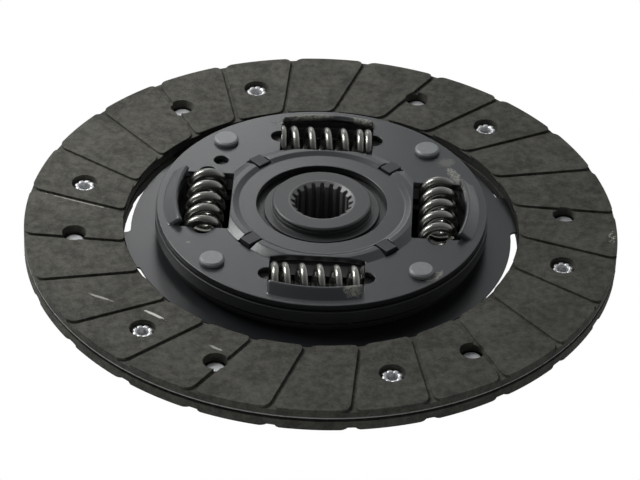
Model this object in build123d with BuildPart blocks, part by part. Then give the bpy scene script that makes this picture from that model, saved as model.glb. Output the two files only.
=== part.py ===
from build123d import *
import os
from math import asin, cos, degrees, radians, sin, sqrt

# Clutch disc of a small car, lying on the rear face of its hub.
# The origin is on the hub's axis at that face, and +Z points along the axis towards the
# side with the spring cover. Angles are counted about +Z from +X.
os.makedirs("parts", exist_ok=True)

# Friction facings: two moulded rings, grooved on the face that rubs
facing_outer_radius = 100.0
facing_inner_radius = 66.6
facing_thickness = 3.5
facing_face_height = 16.2
facing_gap = 1.1
pad_count = 24
groove_width = 1.5
groove_depth = 0.95
groove_rim_angle = 6.96
groove_bore_angle = 12.45
pad_corner = 3.2
pad_corner_fullness = 0.38

# Facing rivets: six hold each ring, and each ring has six clearance holes for the others
rivet_count = 6
rivet_circle_radius = 83.2
upper_rivet_angle = 47.2
lower_rivet_angle = 7.2
rivet_hole_radius = 3.6
rivet_sink_depth = 2.2
rivet_shank_radius = 2.2
rivet_tube_radius = 1.4
rivet_head_radius = 3.2
rivet_head_height = 0.8
rivet_roll_radius = 3.1
rivet_roll_height = 1.0
rivet_tube_floor = 0.4
rivet_clearance = 0.05

# Cushion plate: thin spring steel, waved between the facings
cushion_thickness = 0.7
cushion_outer_radius = 98.5
cushion_inner_radius = 41.0
petal_count = 6
neck_angle = 12.2
neck_half_angle = 9.0
neck_overlap = 2.0
neck_fillet = 1.5
slot_inner_radius = 64.2
slot_width = 3.2
petal_slit_width = 2.4
wave_zone_half_width = 8.0
cushion_notch_radius = 53.2

# Covers: two pressed plates that hold the springs between them
cover_thickness = 2.0
front_cover_radius = 55.5
rear_cover_radius = 54.0
cover_bore_radius = 22.0
land_radius = 28.0
bead_crest_radius = 30.8
bead_foot_radius = 35.0
bead_crest_half_width = 1.0
bead_height = 1.3
front_land_rise = 0.6
rear_land_dish = 1.1
rear_dish_run = 4.0
access_hole_radius = 2.5
access_hole_circle = 42.4
access_hole_angle = 145.3

# Damper springs: a stiff pair and a softer pair, with closed ends ground flat
spring_count = 4
damper_angle = -1.3
spring_circle_radius = 39.3
spring_mid_height = 20.1
spring_outer_radius = 6.9
spring_length = 31.0
stiff_wire_radius = 1.65
stiff_pitch = 6.75
stiff_open_turns = 4.2
stiff_closed_turns = 0.3
soft_wire_radius = 1.35
soft_pitch = 5.65
soft_open_turns = 4.4
far_closed_turns = 0.65
near_closed_turns = 1.35
closed_turn_gap = 0.1
wire_sides = 8
steps_per_turn = 12

# Windows that hold the springs: each has a lip along its outer edge, pressed up at a slant
window_end_clearance = 0.2
window_inner_radius = 30.5
flange_window_radius = 49.1
window_lip_root_radius = 53.0
window_lip_crest_radius = 49.2
window_lip_height = 3.3
window_lip_end_run = 1.3
window_lip_end_drop = 1.8
window_relief_radius = 3.1
window_relief_offset = 0.4

# Stop pins: shouldered rivets that tie the covers and stop the hub's flange
pin_count = 4
pin_circle_radius = 48.8
pin_angle = 43.45
pin_head_radius = 4.15
pin_head_height = 1.7
pin_head_bevel = 0.6
pin_neck_radius = 3.2
pin_body_radius = 4.6

# Hub: a turned and broached forging with a flange between the covers
hub_length = 26.0
hub_radius = 16.6
hub_edge_bevel = 0.5
hub_groove_depth = 0.6
hub_groove_width = 0.8
hub_groove_from_end = 0.8
hub_shoulder_radius = 19.4
hub_shoulder_length = 9.5
hub_shoulder_end_height = 22.7
flange_mid_height = 19.0
flange_thickness = 4.4
flange_radius = 51.8
stop_angle = 6.0
stop_clearance = 0.3
spline_teeth = 20
spline_minor_radius = 9.1
spline_major_radius = 10.35
spline_space_at_bore = 1.75
spline_space_at_root = 1.15
bore_mouth_radius = 10.9
bore_mouth_depth = 1.3

# Friction pack: rings around the hub's shoulder, in front of and behind the flange
pack_clearance = 0.3
pack_outer_radius = 27.4
front_ring_thickness = 1.1
front_ring_inner_radius = 22.6
lug_count = 4
lug_width = 4.6
lug_inner_radius = 29.0
lug_outer_radius = 34.4
lug_top_height = 25.1
pocket_clearance = 0.6
rear_washer_thickness = 1.0
support_thickness = 0.9
tab_radius = 29.0
disc_spring_thickness = 0.8
bush_clearance = 0.05
bush_wall = 3.0
bush_collar_radius = 22.2
bush_collar_thickness = 1.0
bush_end_clearance = 0.1

# Heights that follow from the sizes above
facing_back_height = facing_face_height - facing_thickness
cushion_mid_height = facing_back_height - facing_gap / 2
lower_facing_height = facing_back_height - facing_gap
lower_face_height = lower_facing_height - facing_thickness
cushion_top = cushion_mid_height + cushion_thickness / 2
cushion_bottom = cushion_mid_height - cushion_thickness / 2
wave_height = (facing_gap - cushion_thickness) / 2
flange_top = flange_mid_height + flange_thickness / 2
flange_bottom = flange_mid_height - flange_thickness / 2
front_land_under = flange_top + front_ring_thickness
front_flat_under = front_land_under - front_land_rise
front_flat_top = front_flat_under + cover_thickness
rear_flat_bottom = cushion_top
rear_flat_top = rear_flat_bottom + cover_thickness
rear_land_top = rear_flat_top - rear_land_dish
rear_land_bottom = rear_land_top - cover_thickness

# Widths that follow from the sizes above
window_half_length = spring_length / 2 + window_end_clearance
window_lip_slope = window_lip_height / (window_lip_root_radius - window_lip_crest_radius)
relief_centre = window_half_length + window_relief_offset
pack_inner_radius = hub_shoulder_radius + pack_clearance
pin_gap = pin_body_radius + stop_clearance
bush_outer_radius = hub_radius + bush_clearance + bush_wall


def polar_point(radius, angle):
    return (radius * cos(radians(angle)), radius * sin(radians(angle)))


def finish(piece, name):
    piece.part.label = name
    export_step(piece.part, f"parts/{name}.step")
    print(name, len(piece.part.solids()), round(piece.part.volume, 1))


# Window for a spring, seen along the axis and centred on +X: straight inside, curved outside.
# A cover's window has a round relief at the middle of each end
def window_outline(outer_radius, with_relief):
    corner = sqrt(outer_radius**2 - window_half_length**2)
    with BuildSketch() as window:
        with BuildLine():
            Polyline(
                (corner, -window_half_length),
                (window_inner_radius, -window_half_length),
                (window_inner_radius, window_half_length),
                (corner, window_half_length),
            )
            ThreePointArc((corner, window_half_length), (outer_radius, 0), (corner, -window_half_length))
        make_face()
        if with_relief:
            with Locations((spring_circle_radius, relief_centre), (spring_circle_radius, -relief_centre)):
                Circle(window_relief_radius)
    return window.sketch


# Facing: a flat ring with slanted grooves that open out at both rims. It lies with its back
# at back_height, and up is 1 where the grooved face points up and -1 where it points down
def make_facing(back_height, up, sunk_angle, clear_angle):
    rim = Vector(*polar_point(facing_outer_radius, groove_rim_angle))
    bore = Vector(*polar_point(facing_inner_radius, groove_bore_angle))
    along = (rim - bore).normalized()
    across = along.rotate(Axis.Z, 90) * (groove_width / 2)
    rim_side = Vector(*polar_point(groove_width / 2 + pad_corner, groove_rim_angle + 90))
    bore_side = Vector(*polar_point(groove_width / 2 + pad_corner, groove_bore_angle + 90))
    past_rim = Vector(*polar_point(pad_corner, groove_rim_angle))
    past_bore = Vector(*polar_point(-pad_corner, groove_bore_angle))
    face_plane = Plane.XY.offset(back_height + up * facing_thickness)
    outline = []
    for side in (1, -1):
        rim_mouth, rim_end = rim + rim_side * side, rim - along * pad_corner + across * side
        bore_mouth, bore_end = bore + bore_side * side, bore + along * pad_corner + across * side
        rim_middle = (rim_mouth + rim_end) / 2
        bore_middle = (bore_mouth + bore_end) / 2
        half = [
            rim_mouth + past_rim,
            rim_mouth,
            rim_middle + (rim + across * side - rim_middle) * pad_corner_fullness,
            rim_end,
            bore_end,
            bore_middle + (bore + across * side - bore_middle) * pad_corner_fullness,
            bore_mouth,
            bore_mouth + past_bore,
        ]
        outline += half[::side]
    with BuildPart() as facing:
        with BuildSketch(Plane.XY.offset(back_height)):
            Circle(facing_outer_radius)
            Circle(facing_inner_radius, mode=Mode.SUBTRACT)
        extrude(amount=up * facing_thickness)
        with BuildSketch(face_plane):
            with PolarLocations(0, pad_count):
                Polygon(*outline, align=None)
        extrude(amount=-up * groove_depth, mode=Mode.SUBTRACT)
        with BuildSketch(face_plane):
            with PolarLocations(rivet_circle_radius, rivet_count, sunk_angle):
                Circle(rivet_hole_radius)
        extrude(amount=-up * rivet_sink_depth, mode=Mode.SUBTRACT)
        with BuildSketch(face_plane):
            with PolarLocations(rivet_circle_radius, rivet_count, sunk_angle):
                Circle(rivet_shank_radius + rivet_clearance)
            with PolarLocations(rivet_circle_radius, rivet_count, clear_angle):
                Circle(rivet_hole_radius)
        extrude(amount=-up * facing_thickness, mode=Mode.SUBTRACT)
    return facing


upper_facing = make_facing(facing_back_height, 1, upper_rivet_angle, lower_rivet_angle)
finish(upper_facing, "upper_facing")
lower_facing = make_facing(lower_facing_height, -1, lower_rivet_angle, upper_rivet_angle)
finish(lower_facing, "lower_facing")


# Cushion plate: a flat centre, six necks and six waved petals with two rivets each
petal_turn = 360 / petal_count
slot_outer_radius = slot_inner_radius + slot_width
slit_half_angle = degrees(asin(petal_slit_width / 2 / cushion_outer_radius))
petal_half_angle = petal_turn / 2 - slit_half_angle
upper_zone = rivet_circle_radius * sin(radians(upper_rivet_angle - petal_turn - neck_angle))
lower_zone = rivet_circle_radius * sin(radians(lower_rivet_angle - neck_angle))
neck_half_width = slot_inner_radius * sin(radians(neck_half_angle))
notch_half_width = relief_centre + window_relief_radius
petal_plane = Plane(origin=(0, 0, 0), x_dir=(0, 1, 0), z_dir=(1, 0, 0))


def wave_line(height):
    return [
        (-cushion_outer_radius, height + wave_height),
        (upper_zone + wave_zone_half_width, height + wave_height),
        (lower_zone - wave_zone_half_width, height - wave_height),
        (lower_zone + wave_zone_half_width, height - wave_height),
        (-upper_zone - wave_zone_half_width, height + wave_height),
        (cushion_outer_radius, height + wave_height),
    ]


with BuildSketch() as notch:
    Circle(cushion_notch_radius)
    with Locations((cushion_notch_radius / 2, 0)):
        Rectangle(cushion_notch_radius, 2 * notch_half_width, mode=Mode.INTERSECT)

with BuildPart() as petal:
    with BuildSketch(petal_plane):
        with BuildLine():
            Polyline(*wave_line(cushion_bottom), *reversed(wave_line(cushion_top)), close=True)
        make_face()
    extrude(amount=facing_outer_radius)
    with BuildSketch(Plane.XY.offset(lower_facing_height)):
        with BuildLine():
            ThreePointArc(
                polar_point(cushion_outer_radius, -petal_half_angle),
                (cushion_outer_radius, 0),
                polar_point(cushion_outer_radius, petal_half_angle),
            )
            Line(
                polar_point(cushion_outer_radius, petal_half_angle),
                polar_point(slot_outer_radius, petal_half_angle),
            )
            ThreePointArc(
                polar_point(slot_outer_radius, petal_half_angle),
                (slot_outer_radius, 0),
                polar_point(slot_outer_radius, -petal_half_angle),
            )
            Line(
                polar_point(slot_outer_radius, -petal_half_angle),
                polar_point(cushion_outer_radius, -petal_half_angle),
            )
        make_face()
    extrude(amount=facing_gap, mode=Mode.INTERSECT)

with BuildPart() as cushion_plate:
    with BuildSketch(Plane.XY.offset(cushion_bottom)) as centre:
        Circle(slot_inner_radius)
        with PolarLocations(slot_inner_radius, petal_count, neck_angle):
            Rectangle(2 * (slot_width + neck_overlap), 2 * neck_half_width)
        neck_roots = centre.vertices().filter_by(lambda v: Vector(v).length < slot_outer_radius)
        fillet(neck_roots, neck_fillet)
        Circle(cushion_inner_radius, mode=Mode.SUBTRACT)
        with PolarLocations(0, spring_count, damper_angle):
            add(notch.sketch, mode=Mode.SUBTRACT)
        with PolarLocations(pin_circle_radius, pin_count, pin_angle):
            Circle(pin_neck_radius + rivet_clearance, mode=Mode.SUBTRACT)
    extrude(amount=cushion_thickness)
    with PolarLocations(0, petal_count, neck_angle):
        add(petal.part)
    with BuildSketch(Plane.XY.offset(lower_facing_height)):
        with PolarLocations(rivet_circle_radius, rivet_count, upper_rivet_angle):
            Circle(rivet_shank_radius + rivet_clearance)
        with PolarLocations(rivet_circle_radius, rivet_count, lower_rivet_angle):
            Circle(rivet_shank_radius + rivet_clearance)
    extrude(amount=facing_gap, mode=Mode.SUBTRACT)
finish(cushion_plate, "cushion_plate")


# Facing rivets: the head bears on the cushion plate, inside the other facing's clearance
# hole, and the tube end is rolled out on the floor of this facing's sunk hole
def make_rivets(up, first_angle):
    head_face = cushion_mid_height + up * (wave_height - cushion_thickness / 2)
    head_end = head_face - up * rivet_head_height
    tube_floor = head_face + up * rivet_tube_floor
    sink_floor = cushion_mid_height + up * (facing_gap / 2 + facing_thickness - rivet_sink_depth)
    roll_top = sink_floor + up * rivet_roll_height
    with BuildPart() as rivet:
        with BuildSketch(Plane.XZ):
            with BuildLine():
                Polyline(
                    (0, head_end),
                    (rivet_head_radius, head_end),
                    (rivet_head_radius, head_face),
                    (rivet_shank_radius, head_face),
                    (rivet_shank_radius, sink_floor),
                    (rivet_roll_radius, sink_floor),
                    (rivet_roll_radius, roll_top),
                    (rivet_tube_radius, roll_top),
                    (rivet_tube_radius, tube_floor),
                    (0, tube_floor),
                    close=True,
                )
            make_face()
        revolve(axis=Axis.Z)
    with BuildPart() as rivets:
        with PolarLocations(rivet_circle_radius, rivet_count, first_angle):
            add(rivet.part)
    return rivets


upper_facing_rivets = make_rivets(1, upper_rivet_angle)
finish(upper_facing_rivets, "upper_facing_rivets")
lower_facing_rivets = make_rivets(-1, lower_rivet_angle)
finish(lower_facing_rivets, "lower_facing_rivets")


# Lip along the outer edge of a window. It leans in over the spring, up is 1 where it stands
# above the cover and -1 where it hangs below
def make_lip(flat_height, up):
    inner_edge_radius = window_lip_crest_radius - window_lip_end_run
    inner_edge_rise = window_lip_height - window_lip_end_drop
    foot_radius = inner_edge_radius + (inner_edge_rise + cover_thickness) / window_lip_slope
    with BuildPart() as lip:
        with BuildSketch(Plane.XZ):
            with BuildLine():
                Polyline(
                    (window_lip_root_radius, flat_height),
                    (window_lip_crest_radius, flat_height + up * window_lip_height),
                    (inner_edge_radius, flat_height + up * inner_edge_rise),
                    (foot_radius, flat_height - up * cover_thickness),
                    (window_lip_root_radius, flat_height - up * cover_thickness),
                    close=True,
                )
            make_face()
        revolve(axis=Axis.Z)
        with BuildSketch(Plane.XY.offset(flat_height - up * cover_thickness)):
            with Locations((window_lip_root_radius, 0)):
                Rectangle(window_lip_root_radius, 2 * window_half_length)
        extrude(amount=up * (cover_thickness + window_lip_height), mode=Mode.INTERSECT)
    return lip.part


# Front cover: bored for the hub's shoulder, with a sunken land, a round bead, four windows
# with lips, four pockets for the lugs of the friction ring and one small access hole
pocket_inner_radius = lug_inner_radius - pocket_clearance
pocket_outer_radius = lug_outer_radius + pocket_clearance
front_surface = [
    (cover_bore_radius, front_land_rise),
    (land_radius, front_land_rise),
    (bead_crest_radius - bead_crest_half_width, bead_height),
    (bead_crest_radius + bead_crest_half_width, bead_height),
    (bead_foot_radius, 0),
    (front_cover_radius, 0),
]
with BuildPart() as front_cover:
    with BuildSketch(Plane.XZ):
        with BuildLine():
            Polyline(
                *[(radius, front_flat_top + rise) for radius, rise in front_surface],
                *[(radius, front_flat_under + rise) for radius, rise in reversed(front_surface)],
                close=True,
            )
        make_face()
    revolve(axis=Axis.Z)
    with BuildSketch(Plane.XY.offset(front_flat_under)):
        with PolarLocations(0, spring_count, damper_angle):
            add(window_outline(window_lip_root_radius, True))
        with PolarLocations(pin_circle_radius, pin_count, pin_angle):
            Circle(pin_neck_radius + rivet_clearance)
        with PolarLocations((pocket_inner_radius + pocket_outer_radius) / 2, lug_count, pin_angle):
            Rectangle(pocket_outer_radius - pocket_inner_radius, lug_width + 2 * pocket_clearance)
        with Locations(polar_point(access_hole_circle, access_hole_angle)):
            Circle(access_hole_radius)
    extrude(amount=cover_thickness + bead_height, mode=Mode.SUBTRACT)
    front_lip = make_lip(front_flat_top, 1)
    with PolarLocations(0, spring_count, damper_angle):
        add(front_lip)
finish(front_cover, "front_cover")

# Rear cover: the land around the bush is dished out, away from the flange
rear_surface = [
    (bush_outer_radius, -rear_land_dish),
    (land_radius, -rear_land_dish),
    (land_radius + rear_dish_run, 0),
    (rear_cover_radius, 0),
]
with BuildPart() as rear_cover:
    with BuildSketch(Plane.XZ):
        with BuildLine():
            Polyline(
                *[(radius, rear_flat_top + rise) for radius, rise in rear_surface],
                *[(radius, rear_flat_bottom + rise) for radius, rise in reversed(rear_surface)],
                close=True,
            )
        make_face()
    revolve(axis=Axis.Z)
    with BuildSketch(Plane.XY.offset(rear_land_bottom)):
        with PolarLocations(0, spring_count, damper_angle):
            add(window_outline(window_lip_root_radius, True))
        with PolarLocations(pin_circle_radius, pin_count, pin_angle):
            Circle(pin_neck_radius + rivet_clearance)
        with PolarLocations(tab_radius, lug_count, pin_angle):
            Rectangle(support_thickness + pocket_clearance, lug_width + pocket_clearance)
    extrude(amount=cover_thickness + rear_land_dish, mode=Mode.SUBTRACT)
    rear_lip = make_lip(rear_flat_bottom, -1)
    with PolarLocations(0, spring_count, damper_angle):
        add(rear_lip)
finish(rear_cover, "rear_cover")


# Hub: barrel with a larger shoulder in the middle, a flange with four spring windows and
# four open stop notches, a ring groove near the front end and a straight-sided spline
hub_shoulder_bottom = hub_shoulder_end_height - hub_shoulder_length
stop_travel = pin_circle_radius * sin(radians(stop_angle))
notch_inner_radius = pin_circle_radius * cos(radians(stop_angle)) - pin_gap
notch_length = flange_radius - notch_inner_radius + pin_gap
groove_top = hub_length - hub_groove_from_end
groove_bottom = groove_top - hub_groove_width
with BuildPart() as hub:
    with BuildSketch(Plane.XZ):
        with BuildLine():
            Polyline(
                (bore_mouth_radius, 0),
                (hub_radius - hub_edge_bevel, 0),
                (hub_radius, hub_edge_bevel),
                (hub_radius, hub_shoulder_bottom),
                (hub_shoulder_radius, hub_shoulder_bottom),
                (hub_shoulder_radius, hub_shoulder_end_height),
                (hub_radius, hub_shoulder_end_height),
                (hub_radius, groove_bottom),
                (hub_radius - hub_groove_depth, groove_bottom),
                (hub_radius - hub_groove_depth, groove_top),
                (hub_radius, groove_top),
                (hub_radius, hub_length - hub_edge_bevel),
                (hub_radius - hub_edge_bevel, hub_length),
                (bore_mouth_radius, hub_length),
                (spline_minor_radius, hub_length - bore_mouth_depth),
                (spline_minor_radius, bore_mouth_depth),
                close=True,
            )
        make_face()
    revolve(axis=Axis.Z)
    with BuildSketch(Plane.XY.offset(flange_bottom)):
        Circle(flange_radius)
        Circle(spline_minor_radius, mode=Mode.SUBTRACT)
        with PolarLocations(0, spring_count, damper_angle):
            add(window_outline(flange_window_radius, False), mode=Mode.SUBTRACT)
        with PolarLocations(notch_inner_radius + notch_length / 2, pin_count, pin_angle):
            Rectangle(notch_length, 2 * (stop_travel + pin_gap), mode=Mode.SUBTRACT)
    extrude(amount=flange_thickness)
    with BuildSketch():
        with PolarLocations(0, spline_teeth):
            Polygon(
                (spline_minor_radius - hub_edge_bevel, -spline_space_at_bore / 2),
                (spline_major_radius, -spline_space_at_root / 2),
                (spline_major_radius, spline_space_at_root / 2),
                (spline_minor_radius - hub_edge_bevel, spline_space_at_bore / 2),
                align=None,
            )
    extrude(amount=hub_length, mode=Mode.SUBTRACT)
finish(hub, "hub")


# Damper spring: wound right-handed in short straight steps from one end of its window to the
# other. closed_turns is how much of it is closed at the start, the closed end takes up what
# its open turns leave, and first_crest is how far on the wire first passes over the top
def make_spring(angle, direction, wire_radius, pitch, open_turns, closed_turns, first_crest):
    middle = Vector(*polar_point(spring_circle_radius, angle), spring_mid_height)
    along = Vector(*polar_point(direction, angle + 90))
    across = along.cross(Vector(0, 0, 1))
    mean_radius = spring_outer_radius - wire_radius
    closed_pitch = 2 * wire_radius + closed_turn_gap
    turns = open_turns + (spring_length - open_turns * pitch) / closed_pitch
    wire_middle = []
    for step in range(round(turns * steps_per_turn) + 1):
        turn = step / steps_per_turn
        opened = min(max(turn - closed_turns, 0), open_turns)
        travel = opened * pitch + (turn - opened) * closed_pitch - spring_length / 2
        phase = radians(360 * (turn - first_crest))
        around = Vector(0, 0, 1) * cos(phase) + across * sin(phase)
        wire_middle.append(middle + along * travel + around * mean_radius)
    with BuildPart() as spring:
        with BuildLine():
            Polyline(*wire_middle)
        with BuildSketch(Plane(origin=wire_middle[0], z_dir=wire_middle[1] - wire_middle[0])):
            RegularPolygon(wire_radius, wire_sides)
        sweep(transition=Transition.RIGHT)
        for side in (1, -1):
            ground_face = Plane(origin=middle + along * side * spring_length / 2, z_dir=along * side)
            split(bisect_by=ground_face, keep=Keep.BOTTOM)
    return spring


stiff = (stiff_wire_radius, stiff_pitch, stiff_open_turns, stiff_closed_turns)
finish(make_spring(damper_angle, -1, *stiff, first_crest=0.12), "right_spring")
finish(make_spring(damper_angle + 180, 1, *stiff, first_crest=0.52), "left_spring")
soft = (soft_wire_radius, soft_pitch, soft_open_turns)
finish(make_spring(damper_angle + 90, -1, *soft, far_closed_turns, first_crest=0.12), "far_spring")
finish(make_spring(damper_angle + 270, 1, *soft, near_closed_turns, first_crest=0.65), "near_spring")


# Stop pins: turned rivets, the thick middle holding the covers apart, both heads bevelled
front_head_top = front_flat_top + pin_head_height
rear_head_end = cushion_bottom - pin_head_height
head_face_radius = pin_head_radius - pin_head_bevel
for step in range(pin_count):
    centre = Vector(*polar_point(pin_circle_radius, pin_angle + 360 / pin_count * step))
    with BuildPart() as stop_pin:
        with BuildSketch(Plane(origin=centre, x_dir=(1, 0, 0), z_dir=(0, -1, 0))):
            with BuildLine():
                Polyline(
                    (0, rear_head_end),
                    (head_face_radius, rear_head_end),
                    (pin_head_radius, rear_head_end + pin_head_bevel),
                    (pin_head_radius, cushion_bottom),
                    (pin_neck_radius, cushion_bottom),
                    (pin_neck_radius, rear_flat_top),
                    (pin_body_radius, rear_flat_top),
                    (pin_body_radius, front_flat_under),
                    (pin_neck_radius, front_flat_under),
                    (pin_neck_radius, front_flat_top),
                    (pin_head_radius, front_flat_top),
                    (pin_head_radius, front_head_top - pin_head_bevel),
                    (head_face_radius, front_head_top),
                    (0, front_head_top),
                    close=True,
                )
            make_face()
        revolve(axis=Axis(centre, (0, 0, 1)))
    finish(stop_pin, f"stop_pin_{step + 1}")


# Front friction ring: lies on the flange, and its lugs stand up through the cover's pockets
with BuildPart() as front_friction_ring:
    with BuildSketch(Plane.XY.offset(flange_top)):
        Circle(pack_outer_radius)
        with PolarLocations(lug_outer_radius / 2, lug_count, pin_angle):
            Rectangle(lug_outer_radius, lug_width)
        Circle(front_ring_inner_radius, mode=Mode.SUBTRACT)
    extrude(amount=front_ring_thickness)
    with BuildSketch(Plane.XY.offset(flange_top)):
        with PolarLocations((lug_inner_radius + lug_outer_radius) / 2, lug_count, pin_angle):
            Rectangle(lug_outer_radius - lug_inner_radius, lug_width)
    extrude(amount=lug_top_height - flange_top)
finish(front_friction_ring, "front_friction_ring")

# Rear friction washer, and the steel support washer whose bent tabs stop it turning
washer_bottom = flange_bottom - rear_washer_thickness
support_bottom = washer_bottom - support_thickness
with BuildPart() as rear_friction_washer:
    with BuildSketch(Plane.XY.offset(washer_bottom)):
        Circle(pack_outer_radius)
        Circle(pack_inner_radius, mode=Mode.SUBTRACT)
    extrude(amount=rear_washer_thickness)
finish(rear_friction_washer, "rear_friction_washer")

with BuildPart() as support_washer:
    with BuildSketch(Plane.XY.offset(support_bottom)):
        Circle(pack_outer_radius)
        with PolarLocations(tab_radius / 2, lug_count, pin_angle):
            Rectangle(tab_radius + support_thickness, lug_width)
        Circle(pack_inner_radius, mode=Mode.SUBTRACT)
    extrude(amount=support_thickness)
    with BuildSketch(Plane.XY.offset(support_bottom)):
        with PolarLocations(tab_radius, lug_count, pin_angle):
            Rectangle(support_thickness, lug_width)
    extrude(amount=rear_land_bottom - support_bottom)
finish(support_washer, "support_washer")

# Disc spring: a shallow cone between the rear cover's land and the support washer
with BuildPart() as disc_spring:
    with BuildSketch(Plane.XZ):
        with BuildLine():
            Polyline(
                (pack_inner_radius, rear_land_top),
                (pack_inner_radius, rear_land_top + disc_spring_thickness),
                (pack_outer_radius, support_bottom),
                (pack_outer_radius, support_bottom - disc_spring_thickness),
                close=True,
            )
        make_face()
    revolve(axis=Axis.Z)
finish(disc_spring, "disc_spring")

# Centring bush: a collared sleeve in the rear cover that runs on the hub's barrel
with BuildPart() as centring_bush:
    with BuildSketch(Plane.XY.offset(rear_land_bottom)):
        Circle(bush_collar_radius)
    extrude(amount=-bush_collar_thickness)
    with BuildSketch(Plane.XY.offset(rear_land_bottom)):
        Circle(bush_outer_radius)
    extrude(amount=hub_shoulder_bottom - bush_end_clearance - rear_land_bottom)
    with BuildSketch(Plane.XY.offset(rear_land_bottom - bush_collar_thickness)):
        Circle(hub_radius + bush_clearance)
    extrude(amount=hub_length, mode=Mode.SUBTRACT)
finish(centring_bush, "centring_bush")
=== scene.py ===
# Clutch disc of a small car, lying on the rear face of its hub and seen from the gearbox side.
# Lengths are in metres in the part's own frame: the hub's axis is Z and its rear face is at zero.
from math import cos, exp, pi, radians, sin

import bmesh
import bpy
from mathutils import Matrix, Vector


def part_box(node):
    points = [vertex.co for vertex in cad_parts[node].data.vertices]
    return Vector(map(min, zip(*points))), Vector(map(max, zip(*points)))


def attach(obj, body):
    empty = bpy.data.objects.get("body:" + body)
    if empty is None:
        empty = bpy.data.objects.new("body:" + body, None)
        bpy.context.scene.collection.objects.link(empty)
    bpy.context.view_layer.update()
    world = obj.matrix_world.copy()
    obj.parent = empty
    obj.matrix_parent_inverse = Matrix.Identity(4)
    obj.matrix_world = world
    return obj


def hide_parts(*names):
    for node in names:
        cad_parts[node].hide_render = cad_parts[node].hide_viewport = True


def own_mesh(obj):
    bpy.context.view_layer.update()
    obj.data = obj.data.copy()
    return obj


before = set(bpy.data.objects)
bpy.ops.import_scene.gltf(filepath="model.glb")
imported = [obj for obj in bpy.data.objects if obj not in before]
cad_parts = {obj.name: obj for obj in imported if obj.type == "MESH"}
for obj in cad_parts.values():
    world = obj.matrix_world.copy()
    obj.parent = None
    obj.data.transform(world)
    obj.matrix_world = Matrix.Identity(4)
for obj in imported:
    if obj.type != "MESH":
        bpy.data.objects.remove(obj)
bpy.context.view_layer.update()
MM = 0.001


# Friction facings: two rings moulded from resin, fibres and metal dust, one each side of the
# cushion plate. Each is grooved on the face that rubs, to shed dust and to part cleanly, and has
# a sunk hole for each of its own rivets and a clear hole over each of the other ring's.
class Value:
    """A shader value, on which Python's operators add Math nodes."""

    def __init__(self, finish, socket):
        self.finish, self.socket = finish, socket

    def maths(self, operation, first, second):
        return self.finish.node("ShaderNodeMath", {"operation": operation}, {0: first, 1: second})

    def __add__(self, other):
        return self.maths("ADD", self, other)

    __radd__ = __add__

    def __sub__(self, other):
        return self.maths("SUBTRACT", self, other)

    def __rsub__(self, other):
        return self.maths("SUBTRACT", other, self)

    def __mul__(self, other):
        return self.maths("MULTIPLY", self, other)

    def __or__(self, other):
        return self.maths("MAXIMUM", self, other)


class Finish:
    """A material or a world under construction, with the nodes that it is worked out from."""

    def __init__(self, holder, shader="Principled BSDF", coordinates="Object"):
        holder.use_nodes = True
        self.holder = holder
        self.tree = holder.node_tree
        self.shader = self.tree.nodes[shader]
        self.place = self.node("ShaderNodeTexCoord", {}, {}, coordinates)
        self.height = self.node("ShaderNodeSeparateXYZ", {}, {"Vector": self.place}, "Z")

    def node(self, kind, settings, inputs, output=0):
        made = self.tree.nodes.new(kind)
        for name, setting in settings.items():
            setattr(made, name, setting)
        for name, value in inputs.items():
            self.feed(made.inputs[name], value)
        return Value(self, made.outputs[output])

    def feed(self, socket, value):
        if isinstance(value, Value):
            self.tree.links.new(value.socket, socket)
        else:
            socket.default_value = value

    def noise(self, size, detail, roughness=0.55, distortion=0.0):
        sockets = {"Vector": self.place, "Scale": 1 / size, "Detail": detail}
        sockets |= {"Roughness": roughness, "Distortion": distortion}
        return self.node("ShaderNodeTexNoise", {}, sockets)

    def cells(self, size):
        return self.node("ShaderNodeTexVoronoi", {}, {"Vector": self.place, "Scale": 1 / size})

    def rise(self, value, low, high):
        """Zero below low, one above high and a smooth step between them. It falls where low is
        the greater of the two."""
        sockets = {"Value": value, "From Min": low, "From Max": high}
        return self.node("ShaderNodeMapRange", {"interpolation_type": "SMOOTHSTEP"}, sockets)

    def mix(self, share, first, second):
        sockets = {"Factor": share, 6: first, 7: second}
        return self.node("ShaderNodeMix", {"data_type": "RGBA"}, sockets, 2)

    def level_length(self, vector):
        """How long a vector is when seen from above."""
        sockets = {0: vector, 1: (1, 1, 0)}
        level = self.node("ShaderNodeVectorMath", {"operation": "MULTIPLY"}, sockets)
        return self.node("ShaderNodeVectorMath", {"operation": "LENGTH"}, {0: level}, "Value")

    def spots(self, fray, patches):
        """Patches on the disc's face, their borders frayed by a noise. Each is given by the
        radius and angle of its middle, its length, its width, its turn and its strength, with
        lengths in millimetres and angles in degrees."""
        fraying, border_inside, border_outside = 2.4, 1.95, 2.25
        together = 0
        for radius, angle, length, width, turn, strength in patches:
            sockets = {"Vector": self.place, "Location": on_circle(radius * MM, angle)}
            sockets |= {"Rotation": (0, 0, radians(turn))}
            sockets |= {"Scale": (length * MM / 2, width * MM / 2, 1)}
            local = self.node("ShaderNodeMapping", {"vector_type": "TEXTURE"}, sockets)
            reach = self.level_length(local) + fray * fraying
            together = self.rise(reach, border_outside, border_inside) * strength | together
        return together

    def surface(self, **sockets):
        for name, value in sockets.items():
            socket_name = name.replace("_", " ").title().replace("Ior", "IOR")
            self.feed(self.shader.inputs[socket_name], value)

    def bump(self, height, distance):
        relief = self.node("ShaderNodeBump", {}, {"Height": height, "Distance": distance})
        self.feed(self.shader.inputs["Normal"], relief)


def shade(red, green, blue):
    """A colour given as it looks on a screen, from 0 to 255, as the shader's linear one."""
    steps = (red / 255, green / 255, blue / 255)
    return (*[step / 12.92 if step < 0.04 else ((step + 0.055) / 1.055) ** 2.4 for step in steps], 1.0)


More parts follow.
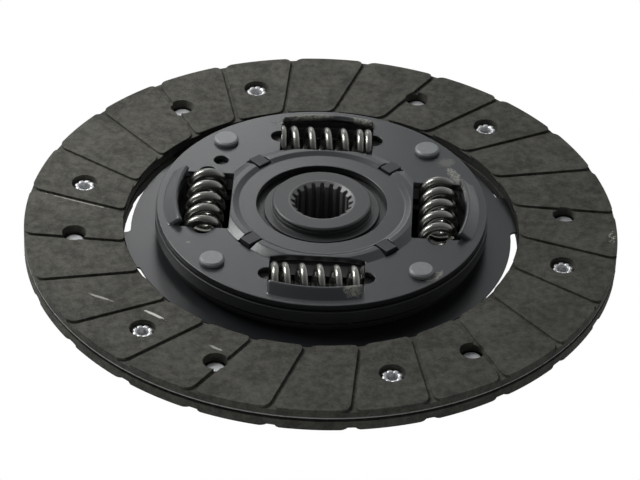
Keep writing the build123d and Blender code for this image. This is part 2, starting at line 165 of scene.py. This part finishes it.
def on_circle(radius, angle, height=0.0):
    return Vector((radius * cos(radians(angle)), radius * sin(radians(angle)), height))


def lathe(outline, steps):
    """A closed outline of (radius, height) points turned round the axis."""
    shape = bmesh.new()
    rings = []
    for step in range(steps):
        rings.append([shape.verts.new(on_circle(r, 360 * step / steps, z)) for r, z in outline])
    for ring, following in zip(rings, rings[1:] + rings[:1]):
        for i in range(len(outline)):
            j = (i + 1) % len(outline)
            shape.faces.new((ring[i], following[i], following[j], ring[j]))
    bmesh.ops.recalc_face_normals(shape, faces=shape.faces)
    return shape


def rectangle(near, far, low, high):
    return [(near, low), (far, low), (far, high), (near, high)]


def prism(shape, outline, low, high):
    """Adds a closed flat outline to a shape as a prism between two heights."""
    bottom = [shape.verts.new((x, y, low)) for x, y in outline]
    top = [shape.verts.new((x, y, high)) for x, y in outline]
    sides = [shape.faces.new(bottom[::-1]), shape.faces.new(top)]
    for i in range(len(outline)):
        j = (i + 1) % len(outline)
        sides.append(shape.faces.new((bottom[i], bottom[j], top[j], top[i])))
    bmesh.ops.recalc_face_normals(shape, faces=sides)


def disc_outline(centre, radius):
    steps = 40
    return [(centre + on_circle(radius, 360 * step / steps)).xy for step in range(steps)]


def to_object(name, shape):
    mesh = bpy.data.meshes.new(name)
    shape.to_mesh(mesh)
    shape.free()
    made = bpy.data.objects.new(name, mesh)
    bpy.context.scene.collection.objects.link(made)
    return made


def settle(made):
    """Works an object's modifiers into its mesh."""
    bpy.context.view_layer.update()
    worked = bpy.data.meshes.new_from_object(made.evaluated_get(bpy.context.evaluated_depsgraph_get()))
    made.modifiers.clear()
    made.data = worked


def combine(made, other_shape, operation):
    other = to_object("other", other_shape)
    boolean = made.modifiers.new("combine", "BOOLEAN")
    boolean.object, boolean.operation, boolean.solver = other, operation, "EXACT"
    settle(made)
    bpy.data.objects.remove(other)


def round_edges(made, width, segments, **limit):
    """Rounds the edges that the modifier's limit settings pick out."""
    bevel = made.modifiers.new("edges", "BEVEL")
    bevel.width, bevel.segments, bevel.use_clamp_overlap = width, segments, False
    for name, setting in limit.items():
        setattr(bevel, name, setting)
    settle(made)


def dress(made, finish, slot, body, *stands_for, smooth_below=40):
    """Gives a finished piece its material and its place on the part."""
    made.data.shade_smooth()
    made.data.set_sharp_from_angle(angle=radians(smooth_below))
    normals = made.modifiers.new("flat_faces_stay_flat", "WEIGHTED_NORMAL")
    normals.keep_sharp, normals.weight = True, 100
    settle(made)
    made.data.materials.clear()
    made.data.materials.append(finish.holder)
    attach(made, body)
    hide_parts(*stands_for)


rim_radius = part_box("upper_facing")[1].x
bore_radius = 66.6 * MM
lining_steps = 360
lining_thickness = 3.5 * MM
lining_edge = 0.14 * MM
pads = 24
groove_width = 1.5 * MM
groove_depth = 0.95 * MM
groove_rim_angle = 6.96
groove_bore_angle = 12.45
pad_corner = 3.2 * MM
rivets_per_ring = 6
rivet_circle = 83.2 * MM
rivet_sink_radius = 4.4 * MM
rivet_sink = 2.2 * MM
clear_hole_radius = 4.1 * MM
shank_hole_radius = 2.25 * MM
upper_rivet_angle = 47.2
lower_rivet_angle = 7.2


def corner_arc(mouth, end, turning_point):
    """Rounded corner of a pad, from the rim or the bore to the groove's straight wall."""
    steps = 5
    arc = []
    for i in range(steps + 1):
        t = i / steps
        arc.append(mouth * (1 - t) ** 2 + turning_point * 2 * t * (1 - t) + end * t**2)
    return arc


def groove_outline():
    rim = on_circle(rim_radius, groove_rim_angle)
    bore = on_circle(bore_radius, groove_bore_angle)
    along = (rim - bore).normalized() * pad_corner
    across = Vector((-along.y, along.x, 0)).normalized() * groove_width / 2
    rim_side = on_circle(groove_width / 2 + pad_corner, groove_rim_angle + 90)
    bore_side = on_circle(groove_width / 2 + pad_corner, groove_bore_angle + 90)
    past_rim = on_circle(pad_corner, groove_rim_angle)
    past_bore = on_circle(-pad_corner, groove_bore_angle)
    outline = []
    for side in (1, -1):
        wall = across * side
        rim_arc = corner_arc(rim + rim_side * side, rim - along + wall, rim + wall)
        bore_arc = corner_arc(bore + bore_side * side, bore + along + wall, bore + wall)
        half = [rim_arc[0] + past_rim, *rim_arc, *reversed(bore_arc), bore_arc[0] + past_bore]
        outline += half[::side]
    return outline


def rivet_place(first_angle, place):
    return on_circle(rivet_circle, first_angle + 360 * place / rivets_per_ring)


def make_lining(name, back, up, sunk_angle, clear_angle):
    """A facing whose back lies at a height, with its grooved face above it for up = 1."""
    face = back + up * lining_thickness
    low, high = sorted((back, face))
    lining = to_object(name, lathe(rectangle(bore_radius, rim_radius, low, high), lining_steps))
    grooves = bmesh.new()
    floor_height, above = sorted((face - up * groove_depth, face + up * groove_depth))
    for pad in range(pads):
        turn = Matrix.Rotation(2 * pi * pad / pads, 3, "Z")
        prism(grooves, [(turn @ point).xy for point in groove_outline()], floor_height, above)
    sinks = bmesh.new()
    floor_height, above = sorted((face - up * rivet_sink, face + up * rivet_sink))
    holes = bmesh.new()
    below, over = low - lining_thickness, high + lining_thickness
    for place in range(rivets_per_ring):
        own_rivet, other_rivet = rivet_place(sunk_angle, place), rivet_place(clear_angle, place)
        prism(sinks, disc_outline(own_rivet, rivet_sink_radius), floor_height, above)
        prism(holes, disc_outline(own_rivet, shank_hole_radius), below, over)
        prism(holes, disc_outline(other_rivet, clear_hole_radius), below, over)
    for cutter in (grooves, sinks, holes):
        combine(lining, cutter, "DIFFERENCE")
    round_edges(lining, lining_edge, 2, limit_method="ANGLE", angle_limit=radians(35))
    return lining


lining_finish = Finish(bpy.data.materials.new("friction_lining"))
upper_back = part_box("upper_facing")[0].z
dust = lining_finish.noise(0.9 * MM, detail=6, roughness=0.7)
clouds = lining_finish.noise(11 * MM, detail=4, roughness=0.6, distortion=0.8)
patches = lining_finish.noise(2.6 * MM, detail=4, roughness=0.6)
lining_fray = lining_finish.noise(1.6 * MM, detail=5, roughness=0.8)
fibres = lining_finish.cells(1.5 * MM)
specks = lining_finish.rise(fibres, 0.17, 0.05) * lining_finish.rise(patches, 0.5, 0.66)
tone = lining_finish.rise(dust * 0.35 + clouds * 0.35 + patches * 0.4, 0.4, 0.72)
scuffs = lining_finish.spots(
    lining_fray,
    [
        (84.7, 212.5, 9.6, 1.1, -24, 0.5),
        (75.6, 225.4, 9.0, 1.1, -33, 1.0),
        (77.2, 245.2, 5.5, 1.0, -32, 0.5),
        (83.2, 174.8, 25.0, 0.9, -19, 0.4),
        (98.2, 359.0, 3.0, 7.0, 0, lining_finish.rise(dust, 0.5, 0.62)),
    ],
)
from_axis = lining_finish.level_length(lining_finish.place)
above_back = lining_finish.height - upper_back
# The burr is the bright line along the lower edge of the upper facing's rim.
burr = (
    lining_finish.rise(above_back, -0.3 * MM, -0.1 * MM)
    * lining_finish.rise(above_back, 0.6 * MM, 0.4 * MM)
    * lining_finish.rise(from_axis, rim_radius - 0.6 * MM, rim_radius - 0.4 * MM)
    * lining_finish.rise(lining_fray, 0.3, 0.5)
)
# Painted shade: the facings' bore walls are coloured near black.
bore_wall_painted_shade = lining_finish.rise(from_axis, bore_radius + 0.3 * MM, bore_radius + 0.1 * MM)
lining_colour = lining_finish.mix(tone, shade(50, 49, 45), shade(86, 85, 79))
for share, other_colour in (
    (specks * 0.5, shade(126, 124, 116)),
    (scuffs, shade(198, 196, 188)),
    (burr * 0.8, shade(176, 176, 174)),
    (bore_wall_painted_shade * 0.8, shade(20, 20, 18)),
):
    lining_colour = lining_finish.mix(share, lining_colour, other_colour)
lining_finish.surface(base_color=lining_colour, roughness=0.82 + dust * 0.1, specular_ior_level=0.25)
lining_finish.bump(dust * 0.6 + patches * 0.4 - specks * 0.3, 0.16 * MM)

upper_lining = make_lining("upper_lining", upper_back, 1, upper_rivet_angle, lower_rivet_angle)
dress(upper_lining, lining_finish, "facing", "disc", "upper_facing")
lower_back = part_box("lower_facing")[1].z
lower_lining = make_lining("lower_lining", lower_back, -1, lower_rivet_angle, upper_rivet_angle)
dress(lower_lining, lining_finish, "facing", "disc", "lower_facing")


# Pressed covers: thick sheet steel, blanked and pressed. The front one is painted black and
# carries a round bead, and the rear one is left in matt black primer. Both hold the springs in
# windows whose outer edges are pressed into lips.
weld_distance = 0.0005 * MM
cover_edge = 0.25 * MM
lip_edge = 0.9 * MM
front_flat = 23.7 * MM


def rounded_copy(node, width, segments=2, added=None, is_pressed=None, pressed_width=0.0):
    """The part's own solid, with a further shape joined to it if there is one, its flat faces
    joined and its edges rounded, those that is_pressed picks out by the wider pressed_width."""
    flat_within, edge_beyond = radians(0.5), radians(18)
    shape = bmesh.new()
    shape.from_mesh(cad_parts[node].data)
    bmesh.ops.remove_doubles(shape, verts=shape.verts, dist=weld_distance)
    bmesh.ops.dissolve_limit(shape, angle_limit=flat_within, verts=shape.verts, edges=shape.edges)
    made = to_object(f"{node}_finished", shape)
    if added:
        combine(made, added, "UNION")
    shape = bmesh.new()
    shape.from_mesh(made.data)
    widest = max(width, pressed_width)
    share = shape.edges.layers.float.new("bevel_weight_edge")
    for edge in shape.edges:
        if edge.is_manifold and edge.calc_face_angle() > edge_beyond:
            middle = (edge.verts[0].co + edge.verts[1].co) / 2
            edge[share] = (pressed_width if is_pressed and is_pressed(middle) else width) / widest
    shape.to_mesh(made.data)
    shape.free()
    round_edges(made, widest, segments, limit_method="WEIGHT")
    return made


def on_lip(point):
    lips_from, lips_to, lips_above = 47 * MM, 53.4 * MM, front_flat + 0.2 * MM
    return lips_from < point.xy.length < lips_to and point.z > lips_above


cover_finish = Finish(bpy.data.materials.new("black_paint"))
haze = cover_finish.noise(20 * MM, detail=4)
grain = cover_finish.noise(0.5 * MM, detail=3)
cover_fray = cover_finish.noise(1.4 * MM, detail=6, roughness=0.85)
clots = cover_finish.noise(1.1 * MM, detail=6, roughness=0.8, distortion=1.5)
smears = cover_finish.spots(
    cover_fray,
    [
        (50.2, 74.5, 9.0, 6.5, -18, 1.0),
        (49.4, 97.0, 22.0, 3.6, 7, 0.8),
        (49.8, 283.0, 6.5, 5.0, 15, 0.8),
        (49.0, 24.0, 3.5, 10.0, 24, 1.0),
        (47.9, 8.0, 2.0, 11.0, 8, 0.8),
        (46.8, 343.0, 3.0, 3.5, 0, 1.0),
        (53.2, 315.4, 7.5, 3.2, 45, 0.9),
        (49.7, 208.3, 1.8, 1.1, 0, 1.0),
    ],
)
grease = smears * cover_finish.rise(clots, 0.38, 0.62)
dulled = cover_finish.spots(clots * 0.8 + haze * 0.6, [(50.5, 33.0, 11.0, 8.0, 33, 0.2)])
paint = cover_finish.mix(haze, shade(28, 29, 31), shade(38, 40, 42))
cover_finish.surface(
    base_color=cover_finish.mix(grease * 0.85 | dulled, paint, shade(150, 150, 138)),
    roughness=0.26 + haze * 0.07 + grease * 0.3,
)
cover_finish.bump(grain * 0.5 + grease, 0.06 * MM)
front_cover = rounded_copy(
    "front_cover", cover_edge, segments=4, is_pressed=on_lip, pressed_width=lip_edge
)
dress(front_cover, cover_finish, "cover", "disc", "front_cover", smooth_below=30)
primer = Finish(bpy.data.materials.new("matt_black_primer"))
primer.surface(
    base_color=primer.mix(primer.noise(12 * MM, detail=4), shade(22, 23, 24), shade(32, 33, 34)),
    roughness=0.6,
    specular_ior_level=0.3,
)
rear_cover = rounded_copy("rear_cover", cover_edge, segments=3)
dress(rear_cover, primer, "cover", "disc", "rear_cover", smooth_below=30)


# Cushion plate: thin spring steel, blanked and painted with the covers. Its six waved petals lie
# between the facings, which are riveted to it, and its middle is riveted to the rear cover.
plate_finish = Finish(bpy.data.materials.new("painted_spring_steel"))
film = plate_finish.noise(16 * MM, detail=4)
plate_finish.surface(
    base_color=plate_finish.mix(film, shade(16, 17, 19), shade(24, 25, 27)),
    roughness=0.26 + film * 0.07,
)
plate = rounded_copy("cushion_plate", width=0.08 * MM, segments=1)
dress(plate, plate_finish, "cushion_steel", "disc", "cushion_plate")


# Facing rivets: tubular aluminium, the flat head on the cushion plate and the tube split and
# rolled outwards in eight petals on the floor of the facing's sunk hole.
petals = 8
rivet_steps = 64
shank_radius = 2.2 * MM
head_radius = 3.2 * MM
head_flat_radius = 2.9 * MM
head_chamfer = 0.3 * MM
head_thickness = 0.8 * MM
roll_height = 1.0 * MM
tube_radius = 1.7 * MM
tube_floor = 0.4 * MM
# The roll's section, in millimetres outwards and up from the sunk hole's floor.
roll_section = [(3.4, 0.0), (3.6, 0.3), (3.45, 0.65), (3.0, 0.95), (2.55, 1.0), (2.15, 0.85), (1.8, 0.4)]
split_half_width = 7
split_pull = 0.16
split_drop = 0.3
turn_between_rivets = 7


def make_rivets(name, node, up, first_angle):
    """A ring of rivets with their rolled ends above their heads for up = 1."""
    low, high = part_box(node)
    head_end, roll_top = (low.z, high.z) if up == 1 else (high.z, low.z)
    head_face = head_end + up * head_thickness
    sink_floor = roll_top - up * roll_height
    tube_end = head_face + up * tube_floor
    roll_root = roll_section[-1][0]
    head = [
        (0.0, head_end),
        (head_flat_radius, head_end),
        (head_radius, head_end + up * head_chamfer),
        (head_radius, head_face),
        (shank_radius, head_face),
        (shank_radius, sink_floor),
    ]
    tube = [(tube_radius, sink_floor - up * tube_floor), (tube_radius, tube_end), (0.0, tube_end)]
    shape = bmesh.new()
    for place in range(rivets_per_ring):
        centre = rivet_place(first_angle, place)
        rings = []
        for step in range(rivet_steps):
            angle = 360 * step / rivet_steps
            from_split = (angle + turn_between_rivets * place) % (360 / petals) - 180 / petals
            split = exp(-((from_split / split_half_width) ** 2))
            roll = []
            for radius, rise in roll_section:
                spread = 1 - split_pull * split * (radius - roll_root) / roll_root
                lift = rise * (1 - split_drop * split)
                roll.append((radius * spread * MM, sink_floor + up * lift * MM))
            points = [centre + on_circle(r, angle, z) for r, z in head + roll + tube]
            rings.append([shape.verts.new(point) for point in points])
        for ring, following in zip(rings, rings[1:] + rings[:1]):
            for i in range(len(ring) - 1):
                shape.faces.new((ring[i], following[i], following[i + 1], ring[i + 1]))
    bmesh.ops.remove_doubles(shape, verts=shape.verts, dist=weld_distance)
    bmesh.ops.recalc_face_normals(shape, faces=shape.faces)
    return to_object(name, shape)


rivet_finish = Finish(bpy.data.materials.new("aluminium"))
scratches = rivet_finish.noise(0.6 * MM, detail=4)
rivet_finish.surface(
    base_color=rivet_finish.mix(scratches, shade(170, 171, 172), shade(206, 207, 208)),
    metallic=0.6,
    roughness=0.3 + scratches * 0.2,
)
rivet_finish.bump(scratches, 0.08 * MM)
upper_rivets = make_rivets("upper_rivets", "upper_facing_rivets", 1, upper_rivet_angle)
dress(upper_rivets, rivet_finish, "rivet", "disc", "upper_facing_rivets")
lower_rivets = make_rivets("lower_rivets", "lower_facing_rivets", -1, lower_rivet_angle)
dress(lower_rivets, rivet_finish, "rivet", "disc", "lower_facing_rivets")


# Stop pins: turned steel rivets that hold the two covers apart and stop the hub's twist. Their
# front ends were pressed flat after the covers were painted, so these are bare. Below the front
# cover their shanks are coloured near black, a painted shade.
pin_finish = Finish(bpy.data.materials.new("bare_steel"))
pressed = pin_finish.noise(1.8 * MM, detail=4)
# Painted shade: below the front cover the shanks are coloured near black.
above_painted_shank_shade = pin_finish.rise(pin_finish.height, front_flat - 0.7 * MM, front_flat - 0.1 * MM)
bare = pin_finish.mix(pressed, shade(100, 102, 103), shade(122, 124, 124))
pin_finish.surface(
    base_color=pin_finish.mix(above_painted_shank_shade, shade(22, 23, 25), bare),
    metallic=0.15,
    roughness=0.42 + pressed * 0.1,
)
pin_finish.bump(pressed, 0.05 * MM)
for node in ("stop_pin_1", "stop_pin_2", "stop_pin_3", "stop_pin_4"):
    dress(rounded_copy(node, width=0.12 * MM, segments=3), pin_finish, "pin", "disc", node)


# Damper springs: round steel wire, wound right-handed, the end turns closed and ground flat,
# shot-peened and oiled. The left and right ones are of thicker wire than the other two.
spring_circle = 39.3 * MM
spring_height = 20.1 * MM
spring_outer_radius = 6.9 * MM
spring_length = 31 * MM
closed_turns_gap = 0.1 * MM
wire_steps = 40
wire_sides = 16


def wind_spring(name, angle, direction, first_crest, closed_turns, wire, pitch, open_turns):
    """A spring at an angle round the disc, wound from the end that direction picks, 1 or -1. It
    has some closed turns, then open turns of a pitch, and more closed turns up to its length.
    first_crest is the turn at which the wire first stands highest."""
    middle = on_circle(spring_circle, angle, spring_height)
    along = on_circle(direction, angle + 90)
    across = along.cross(Vector((0, 0, 1)))
    mean_radius = spring_outer_radius - wire
    closed_pitch = 2 * wire + closed_turns_gap
    turns = open_turns + (spring_length - open_turns * pitch) / closed_pitch
    wire_middle = []
    for step in range(round(turns * wire_steps) + 1):
        turn = step / wire_steps
        opened = min(max(turn - closed_turns, 0), open_turns)
        travel = opened * pitch + (turn - opened) * closed_pitch - spring_length / 2
        phase = 2 * pi * (turn - first_crest)
        around = Vector((0, 0, cos(phase))) + across * sin(phase)
        wire_middle.append((middle + along * travel + around * mean_radius, around))
    shape = bmesh.new()
    rings = []
    for i, (centre, around) in enumerate(wire_middle):
        before = wire_middle[max(i - 1, 0)][0]
        after = wire_middle[min(i + 1, len(wire_middle) - 1)][0]
        sideways = (after - before).normalized().cross(around).normalized()
        ring = []
        for side in range(wire_sides):
            turn = 2 * pi * side / wire_sides
            ring.append(shape.verts.new(centre + (around * cos(turn) + sideways * sin(turn)) * wire))
        rings.append(ring)
    for ring, following in zip(rings, rings[1:]):
        for i in range(wire_sides):
            j = (i + 1) % wire_sides
            shape.faces.new((ring[i], following[i], following[j], ring[j]))
    shape.faces.new(rings[0])
    shape.faces.new(rings[-1])
    for side in (1, -1):
        everything = [*shape.verts, *shape.edges, *shape.faces]
        ground_at = middle + along * side * spring_length / 2
        bmesh.ops.bisect_plane(
            shape, geom=everything, plane_co=ground_at, plane_no=along * side, clear_outer=True
        )
        bmesh.ops.holes_fill(shape, edges=[edge for edge in shape.edges if edge.is_boundary])
    bmesh.ops.recalc_face_normals(shape, faces=shape.faces)
    made = to_object(name, shape)
    dress(made, spring_finish, "spring", "disc", name.replace("_coil", "_spring"))
    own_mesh(made)


spring_finish = Finish(bpy.data.materials.new("oiled_spring_wire"))
peening = spring_finish.noise(0.7 * MM, detail=3)
oil = spring_finish.noise(5 * MM, detail=3)
spring_finish.surface(
    base_color=spring_finish.mix(oil, shade(104, 103, 99), shade(136, 135, 130)),
    metallic=0.95,
    roughness=0.2 + peening * 0.1,
)
spring_finish.bump(peening, 0.05 * MM)
thick = {"wire": 1.65 * MM, "pitch": 6.75 * MM, "open_turns": 4.2}
thin = {"wire": 1.35 * MM, "pitch": 5.65 * MM, "open_turns": 4.4}
wind_spring("right_coil", -1.3, direction=-1, first_crest=0.12, closed_turns=0.3, **thick)
wind_spring("left_coil", 178.7, direction=1, first_crest=0.52, closed_turns=0.3, **thick)
wind_spring("far_coil", 88.7, direction=-1, first_crest=0.12, closed_turns=0.65, **thin)
wind_spring("near_coil", 268.7, direction=1, first_crest=0.65, closed_turns=1.35, **thin)


# Hub: a steel forging, turned and broached, then dipped in phosphate that leaves it dark grey.
# Its flange reaches out between the covers, with a closed slot for each stop pin. The broached
# spline and a band of the flange, about 28 to 49 mm from the axis, are lighter than the rest.
hub_finish = Finish(bpy.data.materials.new("phosphated_steel"))
bloom = hub_finish.noise(9 * MM, detail=4)
from_bore = hub_finish.level_length(hub_finish.place)
coated = hub_finish.mix(bloom, shade(30, 31, 32), shade(44, 45, 46))
broached = hub_finish.rise(from_bore, 11.4 * MM, 11.0 * MM)
# The flange is coloured lighter from about 28 to 49 mm from the axis.
lighter_flange_band = hub_finish.rise(from_bore, 27 * MM, 29 * MM) * hub_finish.rise(from_bore, 50 * MM, 48 * MM)
hub_finish.surface(
    base_color=hub_finish.mix(broached | lighter_flange_band, coated, shade(88, 88, 87)),
    roughness=0.38 + bloom * 0.08,
)
hub_finish.bump(hub_finish.noise(0.6 * MM, detail=3), 0.03 * MM)
flange_bottom, flange_top = 16.8 * MM, 21.2 * MM
flange_inner_radius, flange_outer_radius = 51.2 * MM, 56 * MM
flange_steps = 180
slot_inner_radius, slot_outer_radius = 45 * MM, 53.8 * MM
slot_half_width = 10 * MM
slot_overshoot = 1 * MM
first_slot_angle = 43.45
flange_section = rectangle(flange_inner_radius, flange_outer_radius, flange_bottom, flange_top)
flange_rim = to_object("flange_rim", lathe(flange_section, flange_steps))
slots = bmesh.new()
slot_corners = rectangle(slot_inner_radius, slot_outer_radius, -slot_half_width, slot_half_width)
for quarter in range(4):
    turn = Matrix.Rotation(radians(first_slot_angle + 90 * quarter), 3, "Z")
    outline = [(turn @ Vector((x, y, 0))).xy for x, y in slot_corners]
    prism(slots, outline, flange_bottom - slot_overshoot, flange_top + slot_overshoot)
combine(flange_rim, slots, "DIFFERENCE")
rim_shape = bmesh.new()
rim_shape.from_mesh(flange_rim.data)
bpy.data.objects.remove(flange_rim)
hub = rounded_copy("hub", width=0.15 * MM, added=rim_shape)
dress(hub, hub_finish, "hub", "hub", "hub")


# Friction pack and bush: dark moulded rings against both faces of the hub's flange, two thin
# steel washers and a moulded bush that centres the hub. The front ring's lugs stand up through
# the front cover.
ring_finish = Finish(bpy.data.materials.new("friction_ring"))
wear = ring_finish.noise(2 * MM, detail=4)
ring_finish.surface(
    base_color=ring_finish.mix(wear, shade(16, 16, 20), shade(30, 30, 36)), roughness=0.5 + wear * 0.15
)
for node in ("front_friction_ring", "rear_friction_washer"):
    dress(rounded_copy(node, width=0.15 * MM), ring_finish, "friction_ring", "disc", node)
washer_finish = Finish(bpy.data.materials.new("washer_steel"))
washer_finish.surface(base_color=shade(100, 102, 104), roughness=0.4, metallic=0.8)
for node in ("support_washer", "disc_spring"):
    dress(rounded_copy(node, width=0.08 * MM), washer_finish, "washer", "disc", node)
bush_finish = Finish(bpy.data.materials.new("moulded_bush"))
bush_finish.surface(base_color=shade(40, 40, 40), roughness=0.5)
bush = rounded_copy("centring_bush", width=0.15 * MM)
dress(bush, bush_finish, "bush", "disc", "centring_bush")


# Studio: a white floor under the part and soft lamps around it, as a product is photographed on
# a white sweep. The floor glows white to the camera and in what the steel mirrors, except under
# the middle of the disc, where little light reaches it and a painted shadow colours it near black.
floor_half_size = 3.0
painted_shadow_middle = (0, 17 * MM, 0)
painted_shadow_radius = 50 * MM
painted_shadow_border = 2.5 * MM
floor_shape = bmesh.new()
bmesh.ops.create_grid(floor_shape, x_segments=1, y_segments=1, size=floor_half_size)
floor = to_object("floor", floor_shape)
floor_finish = Finish(bpy.data.materials.new("white_sweep"))
glow = floor_finish.node("ShaderNodeEmission", {}, {"Color": (1, 1, 1, 1)})
distance = {0: floor_finish.place, 1: painted_shadow_middle}
from_shade = floor_finish.node("ShaderNodeVectorMath", {"operation": "DISTANCE"}, distance, "Value")
# Painted shadow: inside this circle the floor is coloured near black and does not glow.
lit = floor_finish.rise(from_shade, painted_shadow_radius, painted_shadow_radius + painted_shadow_border)
floor_finish.surface(
    base_color=floor_finish.mix(lit, shade(12, 12, 12), shade(231, 231, 231)),
    roughness=0.9,
    specular_ior_level=0.0,
)


def rays(finish, kind):
    """One for rays of a kind and zero for all others."""
    return finish.node("ShaderNodeLightPath", {}, {}, f"Is {kind} Ray")


glowing = (rays(floor_finish, "Camera") | rays(floor_finish, "Glossy")) * lit
matt = Value(floor_finish, floor_finish.shader.outputs[0])
blend = floor_finish.node("ShaderNodeMixShader", {}, {0: glowing, 1: matt, 2: glow})
floor_finish.feed(floor_finish.tree.nodes["Material Output"].inputs[0], blend)
floor.data.materials.append(floor_finish.holder)

studio = Finish(bpy.data.worlds.new("studio"), "Background", "Generated")
bpy.context.scene.world = studio.holder
# The room that the steel mirrors is dimmer overhead and behind the camera.
back = studio.node("ShaderNodeSeparateXYZ", {}, {"Vector": studio.place}, "Y")
dimmed = (1 - studio.rise(studio.height, 0.2, 1.0) * 0.5) * studio.rise(back, -0.8, 0.4)
shown = rays(studio, "Glossy") * dimmed | rays(studio, "Camera")
soft_light = 0.18
studio.surface(color=(0.95, 0.98, 1.0, 1), strength=soft_light + shown * (1 - soft_light))


def area_lamp(name, azimuth, elevation, distance, width, height, radiance):
    """A soft lamp seen from the part at an azimuth counted from the far side to the right."""
    lamp = bpy.data.lights.new(name, "AREA")
    lamp.shape, lamp.size, lamp.size_y = "RECTANGLE", width, height
    lamp.energy = radiance * pi * width * height
    holder = bpy.data.objects.new(name, lamp)
    bpy.context.scene.collection.objects.link(holder)
    level = Vector((sin(radians(azimuth)), cos(radians(azimuth)), 0)) * cos(radians(elevation))
    away = level + Vector((0, 0, sin(radians(elevation))))
    holder.location = away * distance
    holder.rotation_euler = away.to_track_quat("Z", "Y").to_euler()


area_lamp("back_lamp", -9, 32, distance=0.5, width=0.14, height=0.12, radiance=3.3)
area_lamp("high_lamp", -66, 47, distance=0.42, width=0.19, height=0.19, radiance=14.8)
area_lamp("front_lamp", -160, 12, distance=1.0, width=0.15, height=0.1, radiance=9.0)


# Camera: the photograph's long lens, looking down on the disc from the near side. Its place, lens
# and slight roll were fitted to the outlines of the disc.
view_elevation = radians(36.5)
view_roll = radians(2.155)
view_distance = 1.2406
focal_length = 208.15
aim = Vector((-0.00017, -0.00953, 0.0162))
towards_camera = Vector((0, -cos(view_elevation), sin(view_elevation)))
level_up = Vector((0, sin(view_elevation), cos(view_elevation)))
level_right = Vector((1, 0, 0))
camera_right = level_right * cos(view_roll) + level_up * sin(view_roll)
camera_up = level_up * cos(view_roll) - level_right * sin(view_roll)
turned = Matrix((camera_right, camera_up, towards_camera)).transposed().to_4x4()
camera_data = bpy.data.cameras.new("camera")
camera_data.lens = focal_length
camera_data.sensor_width = 36
camera = bpy.data.objects.new("camera", camera_data)
bpy.context.scene.collection.objects.link(camera)
camera.matrix_world = Matrix.Translation(aim + towards_camera * view_distance) @ turned
bpy.context.scene.camera = camera
bpy.context.scene.view_settings.view_transform = "Standard"
